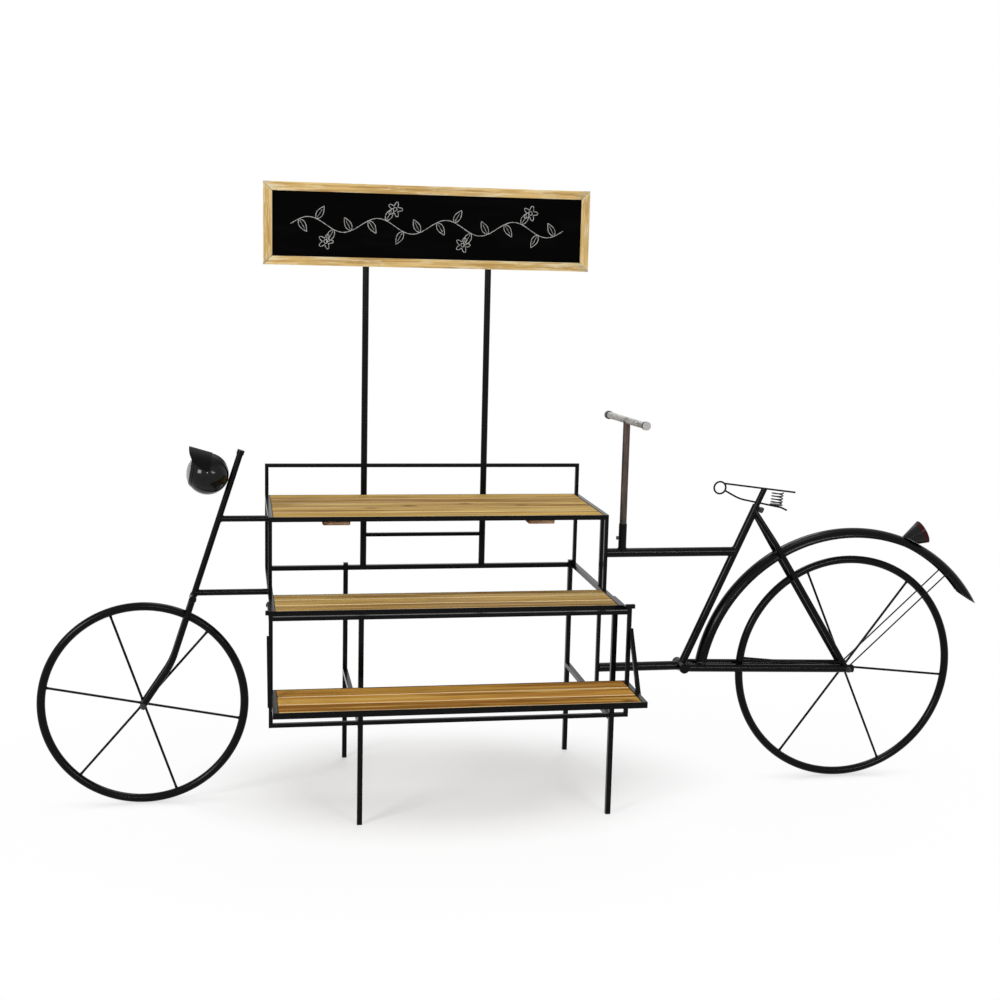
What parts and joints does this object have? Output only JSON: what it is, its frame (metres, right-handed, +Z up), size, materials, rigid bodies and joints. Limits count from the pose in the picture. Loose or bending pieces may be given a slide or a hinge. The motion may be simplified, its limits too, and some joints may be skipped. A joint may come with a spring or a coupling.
{
  "type": "bicycle plant stand",
  "caption": "Free-standing plant rack with slatted shelves dressed as a bicycle: wheels, fork, lamp, saddle, handlebar and a chalkboard sign above.",
  "frame": {"origin": "on the floor, under the middle of the whole length and depth", "axes": "+X along the bicycle to its rear wheel, +Y away from the side with the stepped shelves, +Z up"},
  "size_m": [2.5931, 0.8232, 1.631],
  "materials": {
    "frame_paint": "satin black paint, lightly rubbed",
    "slat_wood": "oiled honey-brown pine",
    "sign_wood": "brown wood with whitewash",
    "chalk_black": "matt black chalkboard paint",
    "lamp_gloss": "gloss black",
    "lens_grey": "smoky grey",
    "lens_red": "dark red",
    "rusty_steel": "rusted dark brown",
    "worn_steel": "worn grey steel",
    "fastener_steel": "dark zinc plate",
    "foot_rubber": "black rubber"
  },
  "bodies": {
    "stand": {"top_shelf_frame": "frame_paint", "shelf_posts": "frame_paint", "railing_bar": "frame_paint", "base_back_rail": "frame_paint", "base_side_rails": "frame_paint", "mid_shelf_frame": "frame_paint", "legs": "frame_paint", "stretchers": "frame_paint", "rear_posts": "frame_paint", "tier_bars": "frame_paint", "tier_pegs": "frame_paint", "tier_arms": "frame_paint", "tier_struts": "frame_paint", "bottom_shelf_frame": "frame_paint", "sign_posts": "frame_paint", "sign_crossbar": "frame_paint", "fork_steerer": "frame_paint", "fork_crown": "frame_paint", "fork_blades": "frame_paint", "fork_cap": "frame_paint", "front_tubes": "frame_paint", "top_tube": "frame_paint", "lower_tube": "frame_paint", "seat_tube": "frame_paint", "bottom_bracket": "frame_paint", "chain_stays": "frame_paint", "seat_stays": "frame_paint", "mudguard": "frame_paint", "mudguard_stays": "frame_paint", "handlebar_socket": "frame_paint", "top_shelf_slats": "slat_wood", "top_shelf_battens": "slat_wood", "mid_shelf_slats": "slat_wood", "bottom_shelf_slats": "slat_wood", "sign_frame": "sign_wood", "chalkboard": "chalk_black", "headlamp_shell": "lamp_gloss", "headlamp_visor": "lamp_gloss", "headlamp_ring": "lamp_gloss", "tail_lamp_body": "lamp_gloss", "headlamp_lens": "lens_grey", "tail_lamp_lens": "lens_red", "axles": "fastener_steel", "axle_nuts": "fastener_steel", "headlamp_bolt": "fastener_steel", "foot_caps": "foot_rubber"},
    "front_wheel": {"front_rim": "frame_paint", "front_hub_spokes": "frame_paint"},
    "rear_wheel": {"rear_rim": "frame_paint", "rear_hub_spokes": "frame_paint"},
    "saddle": {"seat_post": "frame_paint", "saddle_frame": "frame_paint", "saddle_rear_wire": "frame_paint", "saddle_spring": "frame_paint"},
    "handlebar": {"handlebar_post": "rusty_steel", "handlebar_bar": "worn_steel", "handlebar_caps": "worn_steel"},
    "saddle_clamp": {"saddle_screw": "fastener_steel"},
    "handlebar_clamp": {"handlebar_screw": "fastener_steel"}
  },
  "joints": [
    {"name": "front_wheel_spin", "type": "hinge", "parent": "stand", "child": "front_wheel", "pos_m": [-1.02656, 0.0734, 0.271], "axis": [0, 1, 0], "continuous": true},
    {"name": "rear_wheel_spin", "type": "hinge", "parent": "stand", "child": "rear_wheel", "pos_m": [0.90644, 0.0734, 0.321], "axis": [0, 1, 0], "continuous": true},
    {"name": "saddle_height", "type": "slide", "parent": "stand", "child": "saddle", "axis": [0.401, 0, 0.9161], "range_m": [0, 0.1]},
    {"name": "handlebar_turn", "type": "hinge", "parent": "stand", "child": "handlebar", "pos_m": [0.24644, 0.0734, 0.7], "axis": [0, 0, 1], "continuous": true},
    {"name": "saddle_screw_turn", "type": "hinge", "parent": "stand", "child": "saddle_clamp", "pos_m": [0.62164, 0.0734, 0.77959], "axis": [0.9161, 0, -0.401], "range_deg": [0, 360]},
    {"name": "handlebar_screw_turn", "type": "hinge", "parent": "stand", "child": "handlebar_clamp", "pos_m": [0.24644, 0.0734, 0.698], "axis": [-1, 0, 0], "range_deg": [0, 360]}
  ]
}
